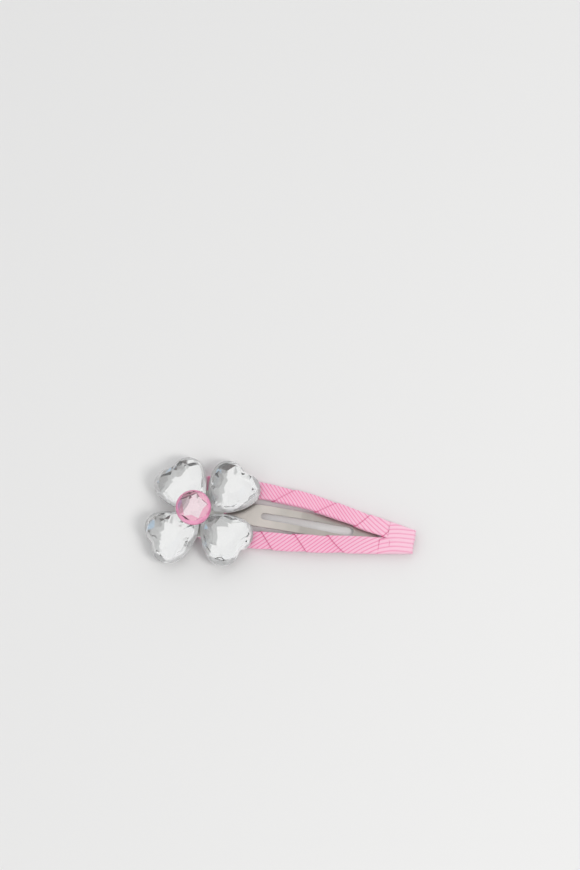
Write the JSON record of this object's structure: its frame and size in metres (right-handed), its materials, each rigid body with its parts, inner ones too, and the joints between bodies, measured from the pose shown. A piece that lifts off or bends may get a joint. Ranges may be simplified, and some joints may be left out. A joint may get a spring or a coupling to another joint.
{
  "type": "hair clip",
  "caption": "Snap hair clip: ribbon-wrapped sprung steel teardrop frame with a slotted snapping tongue and a clover flower of faceted heart stones round a tinted centre stone.",
  "frame": {"origin": "under the middle of the flower, on the flat underside of the wide end, which is the face that the clip rests on", "axes": "+X from the flower to the narrow tip, +Z out of the decorated side, +Y to the left arm"},
  "size_m": [0.0606, 0.0258, 0.0093],
  "materials": {
    "spring_steel": "bare sprung steel sheet, satin, light scratches",
    "pink_ribbon": "grosgrain ribbon, cross ribs, soft sheen",
    "white_felt": "thin pressed felt",
    "clear_glue": "set hot-melt glue, cloudy",
    "silver_foil": "silvered backing film",
    "clear_acrylic": "clear faceted acrylic, polished",
    "pink_acrylic": "pink tinted faceted acrylic, polished"
  },
  "bodies": {
    "clip_body": {"spring_frame": "spring_steel", "tip_rivet": "spring_steel", "bow_ribbon": "pink_ribbon", "left_arm_ribbon": "pink_ribbon", "right_arm_ribbon": "pink_ribbon", "tip_ribbon": "pink_ribbon", "felt_backing": "white_felt", "petal_glue": "clear_glue", "centre_glue": "clear_glue", "petal_foil_1": "silver_foil", "petal_foil_2": "silver_foil", "petal_foil_3": "silver_foil", "petal_foil_4": "silver_foil", "petal_stone_1": "clear_acrylic", "petal_stone_2": "clear_acrylic", "petal_stone_3": "clear_acrylic", "petal_stone_4": "clear_acrylic", "centre_foil": "silver_foil", "centre_stone": "pink_acrylic"},
    "tongue": {"snap_tongue": "spring_steel"}
  },
  "joints": [
    {"name": "tongue_snap", "type": "hinge", "parent": "clip_body", "child": "tongue", "pos_m": [0.00555, 0, 0.00065], "axis": [0, 1, 0], "range_deg": [0, 30]}
  ]
}
